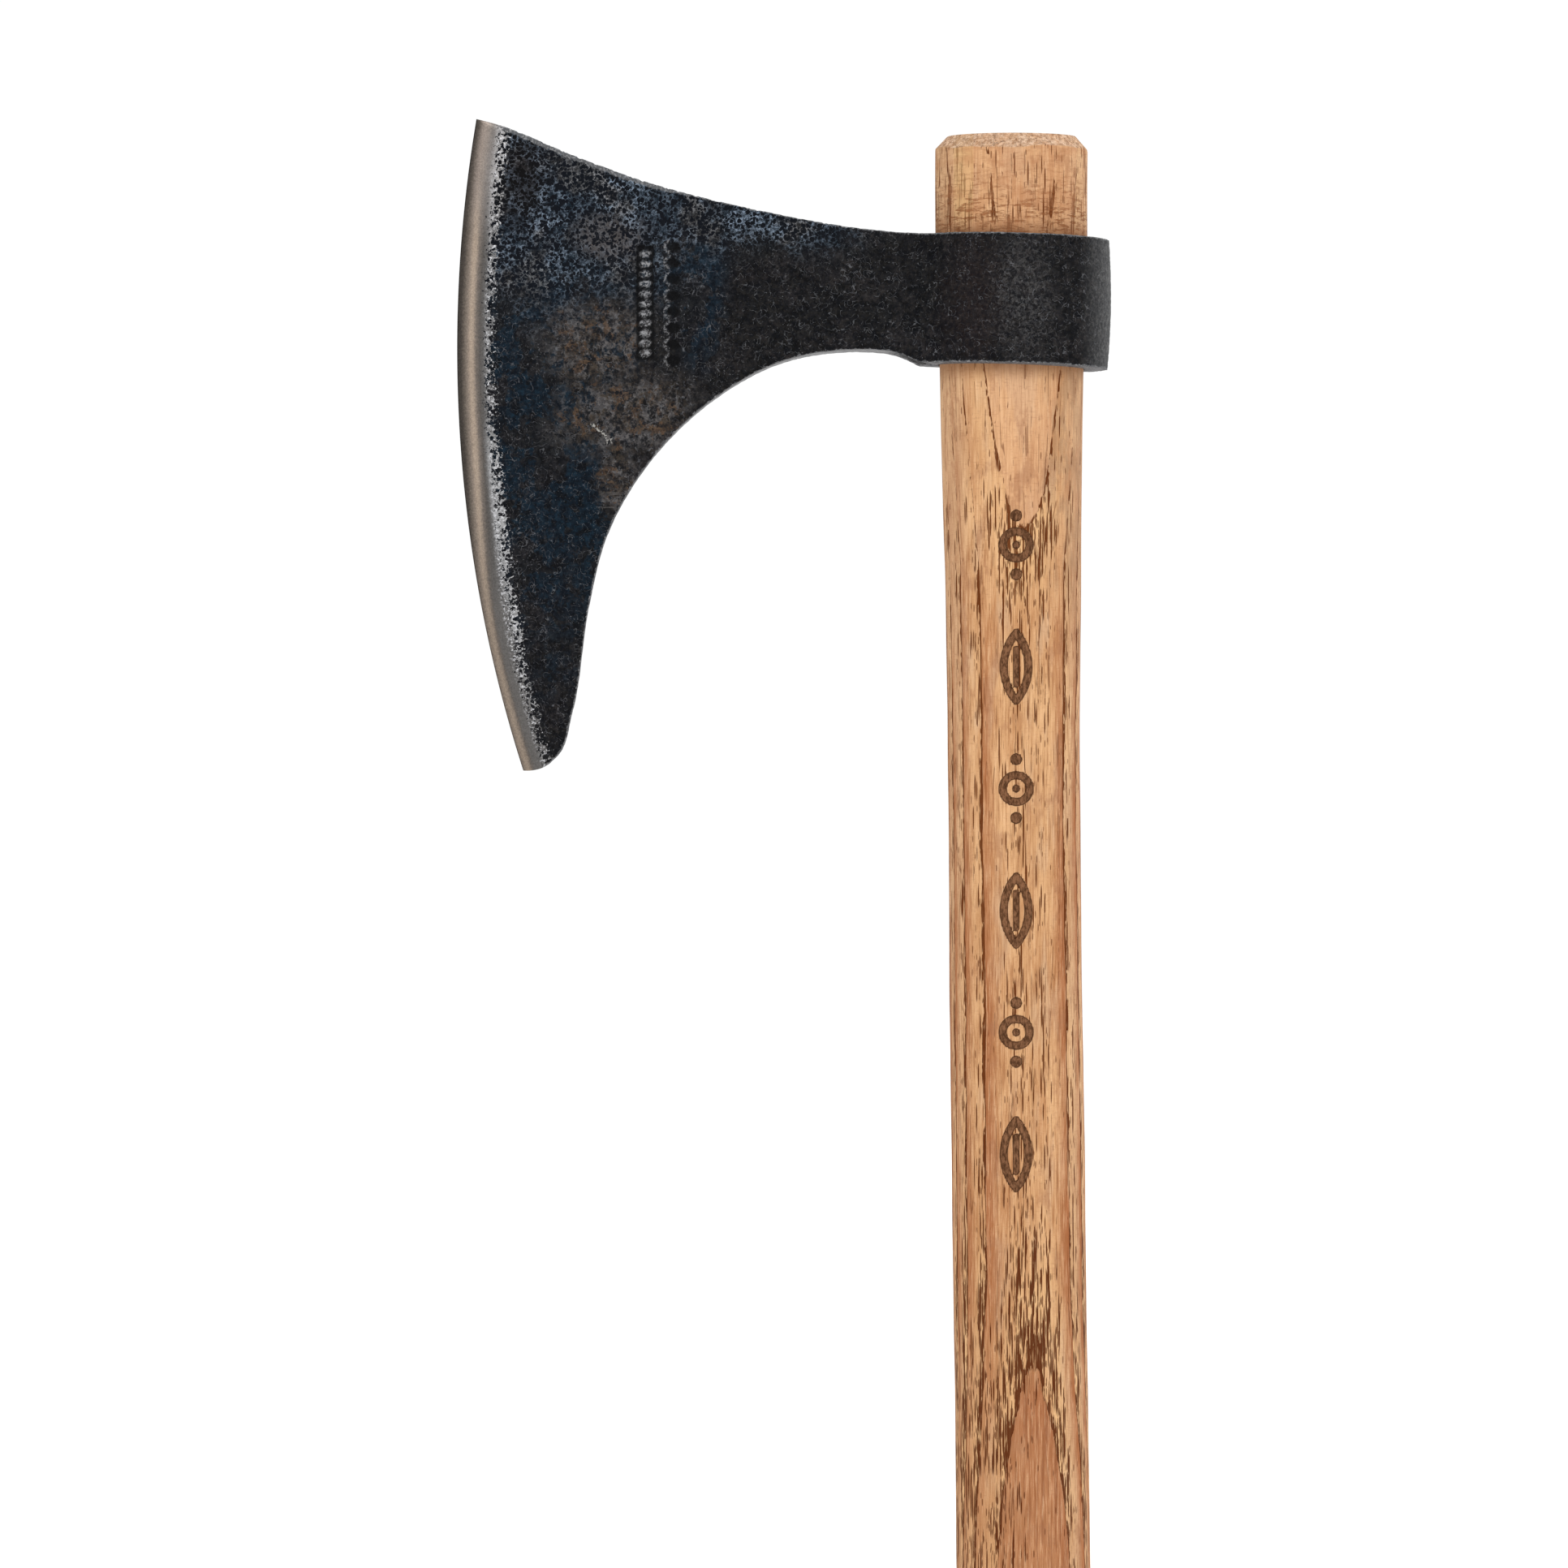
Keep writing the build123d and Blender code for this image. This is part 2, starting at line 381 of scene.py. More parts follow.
def stitch(left, right):
    """Faces between two columns of vertex numbers. One may have twice as many rows inside its
    rims as the other."""
    if len(left) == len(right):
        return [(a, b, d, c) for a, b, c, d in zip(left, left[1:], right, right[1:])]
    fine, coarse = (left, right) if len(left) > len(right) else (right, left)
    k = RIM_CELLS
    faces = stitch(fine[: k + 1], coarse[: k + 1]) + stitch(fine[-k - 1 :], coarse[-k - 1 :])
    fine, coarse = fine[k:-k], coarse[k:-k]
    for i in range(len(coarse) - 1):
        a, b, c = fine[2 * i : 2 * i + 3]
        faces += [(a, b, coarse[i]), (b, c, coarse[i + 1]), (b, coarse[i + 1], coarse[i])]
    return faces


def weld(name, patches, mirror=False):
    """A smooth mesh from patches of columns, joined where their points meet and then closed."""
    points, faces = [], []
    for patch in patches:
        for flip in (1, -1) if mirror else (1,):
            numbered = []
            for column in patch:
                numbered.append(list(range(len(points), len(points) + len(column))))
                points += [(x, y * flip, z) for x, y, z in column]
            for left, right in zip(numbered, numbered[1:]):
                faces += stitch(left, right)
    mesh = bpy.data.meshes.new(name)
    mesh.from_pydata(points, [], faces)
    work = bmesh.new()
    work.from_mesh(mesh)
    bmesh.ops.remove_doubles(work, verts=work.verts, dist=2e-6)
    bmesh.ops.dissolve_degenerate(work, edges=work.edges, dist=1e-7)
    bmesh.ops.holes_fill(work, edges=work.edges, sides=0)
    bmesh.ops.recalc_face_normals(work, faces=work.faces)
    work.to_mesh(mesh)
    work.free()
    mesh.polygons.foreach_set("use_smooth", [True] * len(mesh.polygons))
    return mesh


def add_piece(mesh, body, node):
    """Puts a mesh in the scene in place of a CAD node."""
    piece = bpy.data.objects.new(mesh.name, mesh)
    bpy.context.scene.collection.objects.link(piece)
    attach(piece, body)
    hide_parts(node)
    return piece


def get_places(mesh):
    """The places of a mesh's vertices, one row each."""
    places = np.empty(3 * len(mesh.vertices))
    mesh.vertices.foreach_get("co", places)
    return places.reshape(-1, 3)


def set_places(mesh, places):
    """Moves a mesh's vertices."""
    mesh.vertices.foreach_set("co", places.ravel())
    mesh.update()


def add_attribute(mesh, name, values):
    """Keeps one number for each vertex, for the materials and the geometry nodes."""
    mesh.attributes.new(name, "FLOAT", "POINT").data.foreach_set("value", values)


# -------- head: stamp and wear


def stamp(x, z):
    """The stamp on the flank at x, z: a sunken bar with a row of raised beads in it, and a row of
    plain dimples with a worn lip beside it. Returns its depth and its worn tops, from 0 to 1."""
    (left, bottom), (right, top) = STAMP_BAR
    inside = np.minimum(np.minimum(x - left, right - x), np.minimum(z - bottom, top - z))
    bar = smoothstep(0, 0.5 * MM, inside)
    tops = np.zeros_like(x)
    for bead_z in steps(bottom + 2 * MM, top, BEAD_PITCH):
        away = np.hypot((x - (left + right) / 2) / 1.7, z - bead_z)
        tops = np.maximum(tops, smoothstep(1.1 * MM, 0.7 * MM, away))
    dimples = np.zeros_like(x)
    row_x, low, high = DIMPLES
    for dimple_z in steps(low + 2 * MM, high, DIMPLE_PITCH):
        away = np.hypot((x - row_x) / 1.3, z - dimple_z)
        dimples = np.maximum(dimples, smoothstep(1.55 * MM, 1.05 * MM, away))
        lip = smoothstep(0.40 * MM, 0.15 * MM, np.abs(away - 1.70 * MM)) * (x < row_x - 0.9 * MM)
        tops = np.maximum(tops, 0.7 * lip)
    return np.maximum(bar * (1 - 0.9 * tops), dimples), tops


def outline_gap(places):
    """How far points are from the outline of the side view, seen square on."""
    seen = places[:, (0, 2)]
    gap = np.full(len(places), math.inf)
    for line in (TOP_LINE, BOTTOM_LINE):
        corners = np.vstack([line[:-1:3], line[-1:]])
        for start, run in zip(corners, np.diff(corners, axis=0)):
            share = np.clip((seen - start) @ run / (run @ run), 0, 1)
            gap = np.minimum(gap, np.linalg.norm(seen - start - share[:, None] * run, axis=1))
    return gap


def head_mesh():
    """The forged head at its place on the haft, with its stamp and what the wear depends on."""
    mesh = weld("forged_head", head_patches(), mirror=True)
    places = get_places(mesh)
    x, y, z = places.T
    front = y < -1 * MM
    depth, tops = stamp(x, z)
    from_eye = np.hypot(x / (EYE_TOP_WIDTH + 1 * MM), y / (EYE_TOP_WIDTH * OVALITY + 1 * MM))
    add_attribute(mesh, "stamp", depth * front)
    add_attribute(mesh, "stamp_tops", tops * front)
    add_attribute(mesh, "gap", outline_gap(places))
    add_attribute(mesh, "relief", smoothstep(0.98, 1.03, from_eye))
    places[:, 1] += depth * front * STAMP_DEPTH
    set_places(mesh, places + (EYE_X, 0, EYE_Z))
    return mesh


# -------- haft


def ring_distance(u, v):
    """Distance from a ring with a dot at its centre and one above and one below it."""
    ring = np.abs(np.hypot(u, v) - RING_RADIUS)
    dots = np.hypot(u, np.abs(v) - DOT_OFFSET) - 0.5 * MM
    return np.minimum.reduce([ring, np.hypot(u, v), dots])


def leaf_distance(u, v):
    """Distance from an upright leaf of two arcs, with a short rib."""
    radius = (LEAF_HALF_LENGTH**2 + LEAF_HALF_WIDTH**2) / (2 * LEAF_HALF_WIDTH)
    sides = np.abs(np.hypot(np.abs(u) + radius - LEAF_HALF_WIDTH, v) - radius)
    tips = np.hypot(u, np.abs(v) - LEAF_HALF_LENGTH)
    leaf = np.where(np.abs(v) < LEAF_HALF_LENGTH, sides, tips)
    rib = np.hypot(u, np.maximum(np.abs(v) - RIB_HALF_LENGTH, 0)) + 0.2 * MM
    return np.minimum(leaf, rib)


def burn_mask(x, z, softness, growth=0.0):
    """1 on the burned strokes, widened by growth, and 0 off them, with a border this soft."""
    shapes = {"ring": ring_distance, "leaf": leaf_distance}
    away = [shapes[kind](x - ORNAMENT_X, z - place_z) for place_z, kind in ORNAMENT_PLACES]
    border = STROKE + growth
    return smoothstep(border + softness, border - softness, np.minimum.reduce(away))


def ripple(*terms):
    """A sum of sines, each given as (size, phase), scaled to stay between 0 and 1."""
    total = sum(size * np.sin(phase) for size, phase in terms)
    most = sum(size for size, _ in terms)
    return 0.5 + 0.5 * total / most


def haft_points(turn, z):
    """Points of the haft's skin: turn is 0 on the +X side and -pi/2 in front."""
    width, centre = [np.interp(z, HAFT_SECTIONS[:, 0], HAFT_SECTIONS[:, i]) for i in (1, 2)]
    above = CROWN_Z - z
    cut = CROWN_CUT * (0.85 + 0.35 * ripple((1, 3 * turn + 0.7), (0.5, 7 * turn), (0.3, 13 * turn + 2)))
    crown = CROWN_INSET * np.clip(1 - above / cut, 0, 1)
    foot = CHAMFER_INSET * np.clip(1 - z / CHAMFER_HEIGHT, 0, 1)
    waves = ripple((1, 2 * turn + 45 * z), (0.8, 3 * turn - 90 * z + 1), (0.4, 5 * turn + 210 * z))
    inset = crown + foot + WAVE_DEPTH * waves * smoothstep(0, 4 * MM, np.minimum(above, z))
    x = centre + (width - inset) * np.cos(turn)
    y = (width * OVALITY - inset) * np.sin(turn)
    y += BURN_DEPTH * burn_mask(x, z, 0.3 * MM) * (np.sin(turn) < -0.5)
    return np.stack([x, y, z], axis=-1)


def haft_heights():
    """Heights of the haft's rings of vertices: close together at the ornaments and the crown."""
    half, near_crown, at_crown = 10.6 * MM, 0.472, 0.494
    spans = [(0.0, 0.8 * MM), (4 * MM, 2.5 * MM)]
    for place_z, _ in reversed(ORNAMENT_PLACES):
        spans += [(place_z - half, 0.5 * MM), (place_z + half, 2.5 * MM)]
    spans += [(near_crown, 1.0 * MM), (at_crown, 0.4 * MM)]
    ends = [start for start, _ in spans[1:]] + [CROWN_Z]
    heights = [steps(start, end, size) for (start, size), end in zip(spans, ends)]
    return np.concatenate([*heights, [CROWN_Z]])


def haft_mesh():
    """The haft as rings of vertices, with each end filled by smaller and smaller rings."""
    half = 0.38  # half the angle of the finer front
    fine = np.linspace(-half, half, 30)
    coarse = np.linspace(half, 2 * math.pi - half, 142)[1:-1]
    turn = -math.pi / 2 + np.concatenate([fine, coarse])
    turn = np.append(turn, turn[0])
    rings = list(haft_points(*np.meshgrid(turn, haft_heights())))
    shares = np.linspace(1, 0.02, 12)[1:, None]
    foot, crown = rings[0], rings[-1]
    rings = [
        *[foot.mean(0) + (foot - foot.mean(0)) * share for share in shares[::-1]],
        *rings,
        *[crown.mean(0) + (crown - crown.mean(0)) * share for share in shares],
    ]
    mesh = weld("hickory_haft", [rings])
    x, y, z = get_places(mesh).T
    add_attribute(mesh, "burn", burn_mask(x, z, 0.3 * MM, 0.15 * MM) * (y < -8 * MM))
    return mesh


# -------- node patterns


class Signal:
    """The output of a node. Arithmetic and patterns add more nodes to its graph."""

    def __init__(self, graph, socket):
        self.graph = graph
        self.socket = socket

    def math(self, operation, *values):
        """The result of a math node on this number and others."""
        inputs = dict(enumerate([self, *values]))
        return self.graph.signal("ShaderNodeMath", inputs, operation=operation)

    def __add__(self, other):
        return self.math("ADD", other)

    def __sub__(self, other):
        return self.math("SUBTRACT", other)

    def __rsub__(self, other):
        return self.math("MULTIPLY_ADD", -1, other)

    def __mul__(self, other):
        return self.math("MULTIPLY", other)

    def __truediv__(self, other):
        return self.math("DIVIDE", other)

    def __abs__(self):
        return self.math("ABSOLUTE")

    def fade(self, low, high, start=0.0, end=1.0):
        """An even S from start to end while this number goes from low to high."""
        inputs = {"Value": self, "From Min": low, "From Max": high, "To Min": start, "To Max": end}
        return self.graph.signal("ShaderNodeMapRange", inputs, interpolation_type="SMOOTHSTEP")

    def bump(self, distance, strength):
        """The surface's normal, tilted by this height."""
        inputs = {"Height": self, "Distance": distance, "Strength": strength}
        return self.graph.signal("ShaderNodeBump", inputs)

    def contours(self, low, high):
        """Thin curls where this noise is near its middle: full below low, gone above high."""
        return abs(self - 0.5).fade(high, low)

    def ramp(self, stops):
        """A colour from stops, each given as its place, red, green and blue."""
        node = self.graph.node("ShaderNodeValToRGB", {"Fac": self})
        elements = node.color_ramp.elements
        while len(elements) < len(stops):
            elements.new(1.0)
        for element, (stop, *colour) in zip(elements, stops):
            element.position = stop
            element.color = (*colour, 1)
        return Signal(self.graph, node.outputs[0])

    def vector(self, operation, value=(0, 0, 0)):
        """Vector math with another vector, if it needs one. SCALE takes a number instead."""
        inputs = {0: self, "Scale" if operation == "SCALE" else 1: value}
        output = "Value" if operation in ("LENGTH", "DOT_PRODUCT") else "Vector"
        return self.graph.signal("ShaderNodeVectorMath", inputs, output, operation=operation)

    def axes(self):
        """The x, y and z of this vector."""
        parts = self.graph.node("ShaderNodeSeparateXYZ", {0: self})
        return [Signal(self.graph, part) for part in parts.outputs[:3]]

    def noise(self, scale, detail=3.0, roughness=0.6, output="Fac"):
        """Noise at this place."""
        inputs = {"Vector": self, "Scale": scale, "Detail": detail, "Roughness": roughness}
        return self.graph.signal("ShaderNodeTexNoise", inputs, output)

    def stretch(self, across, along):
        """Coordinates whose unit is this far across the haft and this far along it."""
        return self.vector("MULTIPLY", (1 / across, 1 / across, 1 / along))

    def streaks(self, across, along, detail=3.0, roughness=0.6):
        """Noise in upright streaks of about this width and length."""
        return self.stretch(across, along).noise(1.0, detail, roughness)

    def warp(self, scale, amount):
        """This place moved about by noise, by up to about this amount."""
        push = self.noise(scale, 1.0, 0.5, "Color").vector("SUBTRACT", (0.5,) * 3)
        return self.vector("ADD", push.vector("SCALE", 2 * amount))

    def cells(self, scale):
        """Distance to the nearest cell's middle, and a random number for that cell."""
        cells = self.graph.node("ShaderNodeTexVoronoi", {"Vector": self, "Scale": scale})
        away, colour = [Signal(self.graph, cells.outputs[name]) for name in ("Distance", "Color")]
        return away, colour.axes()[0]

    def borders(self, scale):
        """Distance to the nearest border between cells."""
        inputs = {"Vector": self, "Scale": scale}
        kind = "ShaderNodeTexVoronoi"
        return self.graph.signal(kind, inputs, "Distance", feature="DISTANCE_TO_EDGE")

    def blob(self, middle, size, soft):
        """1 inside an oval patch with a ragged border, 0 outside. Middle and size are (x, z)."""
        away = self.vector("SUBTRACT", (middle[0], 0, middle[1]))
        away = away.vector("MULTIPLY", (1 / size[0], 0, 1 / size[1])).vector("LENGTH")
        return (away + self.noise(85) * 1.3 - 0.65).fade(1 + soft, 1 - soft)


def larger(*signals):
    """The largest of some numbers."""
    largest = signals[0]
    for signal in signals[1:]:
        largest = largest.math("MAXIMUM", signal)
    return largest


def mix(share, first, second):
    """A colour between two."""
    return share.graph.signal("ShaderNodeMix", {0: share, 6: first, 7: second}, 2, data_type="RGBA")


class Graph:
    """Adds linked nodes to a material or to geometry nodes: patterns come out the same in both."""

    def __init__(self, tree):
        self.tree = tree

    def put(self, node, inputs):
        """Gives a node its inputs: links the signals and sets the constants."""
        for name, value in inputs.items():
            socket = node.inputs[name]
            if isinstance(value, Signal):
                self.tree.links.new(value.socket, socket)
            elif socket.type == "RGBA":
                socket.default_value = (*value, 1)
            else:
                socket.default_value = value

    def node(self, kind, inputs, **settings):
        """A new node."""
        node = self.tree.nodes.new(kind)
        for name, value in settings.items():
            setattr(node, name, value)
        self.put(node, inputs)
        return node

    def signal(self, kind, inputs, output=0, **settings):
        """An output of a new node."""
        return Signal(self, self.node(kind, inputs, **settings).outputs[output])

    def place(self):
        """Where the surface is, in metres."""
        if self.tree.bl_idname == "GeometryNodeTree":
            return self.signal("GeometryNodeInputPosition", {})
        return self.signal("ShaderNodeTexCoord", {}, "Object")

    def attribute(self, name):
        """A number that the mesh keeps for each vertex."""
        if self.tree.bl_idname == "GeometryNodeTree":
            return self.signal("GeometryNodeInputNamedAttribute", {"Name": name})
        return self.signal("ShaderNodeAttribute", {}, "Fac", attribute_name=name)

    def facing_up(self):
        """1 on surfaces that face straight up, -1 on those that face down."""
        return self.signal("ShaderNodeNewGeometry", {}, "Normal").axes()[2]


def material(name):
    """A new material, its graph and its shader."""
    made = bpy.data.materials.new(name)
    made.use_nodes = True
    return made, Graph(made.node_tree), made.node_tree.nodes["Principled BSDF"]


def displace(piece, depth_of):
    """Sinks a piece's surface by a pattern, in metres, and keeps the result as its mesh."""
    tree = bpy.data.node_groups.new(piece.name + "_relief", "GeometryNodeTree")
    for way in ("INPUT", "OUTPUT"):
        tree.interface.new_socket("Geometry", in_out=way, socket_type="NodeSocketGeometry")
    graph = Graph(tree)
    start = graph.signal("NodeGroupInput", {})
    normal = graph.signal("GeometryNodeInputNormal", {})
    offset = normal.vector("SCALE", depth_of(graph) * -1)
    moved = graph.signal("GeometryNodeSetPosition", {"Geometry": start, "Offset": offset})
    graph.node("NodeGroupOutput", {0: moved})
    modifier = piece.modifiers.new("relief", "NODES")
    modifier.node_group = tree
    evaluated = piece.evaluated_get(bpy.context.evaluated_depsgraph_get())
    mesh = bpy.data.meshes.new_from_object(evaluated)
    piece.modifiers.clear()
    mesh.name = piece.name
    piece.data = mesh


# -------- steel


def pit_space(local):
    """Slightly bent coordinates, which the cells of the scale's pits are laid out in."""
    return local.warp(900, 0.6 * MM)


def grind_shift(local):
    """How much closer to the edge the grind's bands of painted reflection lie, near the toe and in the
    beard.
    """
    z = local.axes()[2]
    return z.fade(10 * MM, 40 * MM, 0.0, 0.9 * MM) + z.fade(-36 * MM, -92 * MM, -0.2 * MM, 2.2 * MM)


def forging(graph):
    """What the steel's colour and relief share: the place from the eye's middle, how deep the
    scale's round pits are from 0 to 1, where the edge is ground, and the distance from the edge."""
    local = graph.place().vector("SUBTRACT", (EYE_X, 0, EYE_Z))
    z = local.axes()[2]
    away, chance = pit_space(local).cells(PITS_PER_METRE)
    pit = (away - chance * 0.38).fade(0.43, 0.26)
    side_view = local.vector("MULTIPLY", (1, 0, 1))
    spoke = side_view.vector("SUBTRACT", (EDGE_CENTRE[0], 0, EDGE_CENTRE[1]))
    from_edge = EDGE_RADIUS - spoke.vector("LENGTH")
    limit = local.noise(1600, roughness=0.7) * (8.4 * MM) - pit * (2.4 * MM) + 5.4 * MM
    limit = limit - grind_shift(local) * 0.6
    limit = limit + z.fade(-25 * MM, -60 * MM, 0.0, 1.1 * MM)
    limit = limit - z.fade(-84 * MM, -95 * MM, 0.0, 1.4 * MM)
    ground = (from_edge - limit).fade(0.2 * MM, -0.2 * MM)
    return local, pit, ground, from_edge


def pitted(local):
    """Where the pits cover the steel: the upper blade and a strip under its top."""
    upper = local.blob((-0.12, 0.029), (0.04, 0.027), 0.5)
    strip = local.blob((-0.07, 0.026), (0.034, 0.012), 0.5)
    return larger(upper, strip)


def head_relief(graph):
    """Depth of the scale below the forging's smooth surface."""
    local, pit, ground, from_edge = forging(graph)
    pits = pit * pitted(local).fade(0, 1, 0.07 * MM, 0.26 * MM)
    waves = local.noise(75, 2.0, 0.5) * (0.16 * MM)
    kept = (1.0 - ground) * graph.attribute("relief") * from_edge.fade(3 * MM, 9 * MM)
    return (pits + waves) * kept


def forge_black(local, mottle):
    """The scale's ground colours: two kinds of black, with blued flakes on the blade."""
    black = mix(mottle, (0.0026, 0.0024, 0.0026), (0.0165, 0.0152, 0.0145))
    brownish = mix(mottle, (0.004, 0.0035, 0.0035), (0.026, 0.022, 0.022))
    tarnish = local.warp(300, 2 * MM).noise(120, 4.0, 0.65)
    black = mix(tarnish.fade(0.50, 0.53, 0.0, 0.5), black, brownish)
    along_grind = local.blob((-0.12, -0.022), (0.021, 0.066), 0.4)
    near_neck = local.blob((-0.083, 0.004), (0.008, 0.017), 0.5)
    flakes = local.warp(260, 2 * MM).noise(95, 4.0, 0.65).fade(0.47, 0.50, 0.15, 1.0)
    blue = mix(mottle, (0.0016, 0.004, 0.0075), (0.007, 0.019, 0.032))
    return mix(larger(along_grind, near_neck) * flakes, black, blue)


def browned(local, colour):
    """Brown and rusty grain in spots on the blade, and single rusty specks round them. Returns
    the colour and where the spots are."""
    spots = larger(*[local.blob(spot[:2], spot[2:], 0.5) for spot in BROWN_SPOTS.tolist()])
    grain = local.noise(540, 5.0, 0.75)
    tint = local.noise(260, 4.0, 0.7).fade(0.42, 0.56)
    brown = mix(tint, (0.052, 0.041, 0.032), (0.104, 0.097, 0.096))
    colour = mix(spots * grain.fade(0.42, 0.53, 0.05, 0.92), colour, brown)
    rust = local.noise(280, 5.0, 0.7) - spots.fade(0, 1, 0.70, 0.53)
    rust = rust.fade(0.0, 0.05) * grain.fade(0.40, 0.50) * 0.8
    return mix(rust, colour, (0.086, 0.053, 0.032)), spots


def barrel_sheen(local, colour):
    """Painted light on the barrel: a painted sheen on its front, a painted reflection on the poll, and
    a brown patch.
    """
    fleck = local.noise(1200, 4.0, 0.75).fade(0.44, 0.59)
    patch = local.blob((-0.01, 0.001), (0.007, 0.014), 0.8) * 0.6
    brown = mix(fleck, (0.013, 0.0075, 0.007), (0.03, 0.022, 0.02))
    colour = mix(patch, colour, brown)
    # painted sheen: a soft highlight painted on the barrel's front
    patchy = local.blob((0.0028, 0.001), (0.0056, 0.015), 0.95)
    colour = mix(patchy * fleck.fade(0, 1, 0.06, 1.0), colour, (0.058, 0.056, 0.056))
    # painted reflection: the poll grows lighter towards its end
    poll_reflection = local.axes()[0].fade(16.5 * MM, 24.5 * MM) * fleck.fade(0, 1, 0.55, 1.0)
    return mix(poll_reflection, colour, (0.084, 0.084, 0.085))


def scale_ground(local):
    """The scale without its round pits: coloured patches, haze, dents, and painted glints as light
    curls and specks. Returns the colour and where the brown spots are."""
    mottle = local.noise(500, 6.0, 0.78).fade(0.38, 0.64)
    colour = forge_black(local, mottle)
    holes = local.noise(360, 5.0, 0.7).fade(0.45, 0.41) * 0.8
    colour = mix(holes, colour, (0.0022, 0.0022, 0.0026))
    haze = local.noise(1300, 4.0, 0.75).fade(0.48, 0.66)
    haze = haze * local.noise(120, 4.0).fade(0.48, 0.62, 0.05, 0.50)
    colour = mix(haze, colour, (0.04, 0.037, 0.038))
    colour, spots = browned(local, colour)
    dents = local.noise(640, 4.0, 0.7).fade(0.46, 0.39) * spots.fade(0, 1, 0.0, 0.75)
    colour = mix(dents, colour, (0.006, 0.0056, 0.0062))
    colour = barrel_sheen(local, colour)
    # painted glints: thin light curls and specks stand in for highlights off the scale's fine relief
    glint_curls = local.warp(350, 0.8 * MM).noise(560, 1.0, 0.5).contours(0.004, 0.02)
    glint_curls = glint_curls * local.noise(420).fade(0.45, 0.57, 0.0, 0.62)
    specks = local.noise(2300, 2.0).fade(0.62, 0.72, 0.0, 0.8)
    specks = specks * local.noise(200).fade(0.44, 0.58, 0.15, 1.0)
    return mix(larger(glint_curls, specks), colour, (0.125, 0.128, 0.138)), spots


def pit_colour(local, pit, spots, colour):
    """The pits on the upper blade: dark hollows and pale ridges, bluish or brownish in clouds."""
    covered = pitted(local)
    height = local.noise(1250, 4.0, 0.75) * 0.75 + local.noise(260, 4.0, 0.7) * 0.6
    crests = pit_space(local).borders(PITS_PER_METRE).fade(0.14, 0.02, 0.30, 1.0)
    clouds = local.noise(85).fade(0.38, 0.60, 0.50, 1.35)
    light = height.fade(0.56, 0.84) * crests * clouds
    warm = local.vector("ADD", (0.3, 0, 0)).noise(75).fade(0.50, 0.60, 0.0, 0.75)
    dim = mix(warm, (0.007, 0.0134, 0.0214), (0.014, 0.0115, 0.0099))
    pale = mix(warm, (0.226, 0.286, 0.366), (0.26, 0.247, 0.238))
    ridge = mix(light, dim, pale)
    ridge = mix(spots * 0.7, ridge, (0.085, 0.076, 0.074))
    soot = local.blob((-0.128, 0.033), (0.006, 0.011), 0.7)
    ridge = mix(soot * 0.75, ridge, (0.016, 0.013, 0.013))
    colour = mix((1.0 - pit) * covered * 0.88, colour, ridge)
    small = local.noise(1700, roughness=0.7).fade(0.46, 0.38) * 0.8
    hollow = larger(pit.fade(0.2, 0.9), small) * covered.fade(0, 1, 0.42, 0.96)
    deep = mix(soot, (0.0036, 0.0048, 0.0078), (0.0034, 0.003, 0.0033))
    return mix(hollow, colour, deep)


def scratched(local, colour):
    """One ragged scratch on the front of the blade and fine file marks above the beard."""
    start, end = SCRATCH
    length = math.dist(start, end)
    along_x, along_z = (end - start) / length
    bent = local.warp(800, 1.1 * MM).vector("SUBTRACT", (start[0], 0, start[1]))
    ahead = bent.vector("DOT_PRODUCT", (along_x, 0, along_z))
    aside = abs(bent.vector("DOT_PRODUCT", (-along_z, 0, along_x)))
    mark = aside.fade(0.55 * MM, 0.22 * MM) * ahead.fade(0.0, 0.5 * MM)
    mark = mark * ahead.fade(length, length - 0.5 * MM) * local.axes()[1].fade(0.0, -1 * MM)
    mark = mark * local.noise(1800, 2.0, 0.5).fade(0.46, 0.55)
    files = local.streaks(1 / 130, 1 / 2300).fade(0.54, 0.66) * 0.6
    files = files * local.blob((-0.1005, -0.052), (0.0055, 0.005), 0.6)
    colour = mix(files, colour, (0.09, 0.082, 0.078))
    return mix(mark, colour, (0.30, 0.29, 0.27))


def rim_wear_and_highlight(graph, local, chips, colour):
    """Scale rubbed off along the outline, partly a painted highlight on the rounded rims: a grey strip
    on the blade, sparks on the barrel.
    """
    x, _, z = local.axes()
    toe = x.fade(-78 * MM, -95 * MM) * z.fade(0, 10 * MM)
    widest = larger(toe, x.fade(-36 * MM, -26 * MM, 0.0, 0.18))
    reach = chips * (1.8 * MM) + widest.fade(0, 1, -0.55 * MM, 0.35 * MM)
    # partly real wear and partly a painted highlight along the rims
    worn = (graph.attribute("gap") - reach).fade(0.12 * MM, -0.2 * MM) * 0.75
    tint = local.noise(1700, 2.0, 0.5).fade(0.52, 0.62)
    grey = mix(tint, (0.125, 0.128, 0.134), (0.27, 0.27, 0.275))
    return mix(worn, colour, grey)


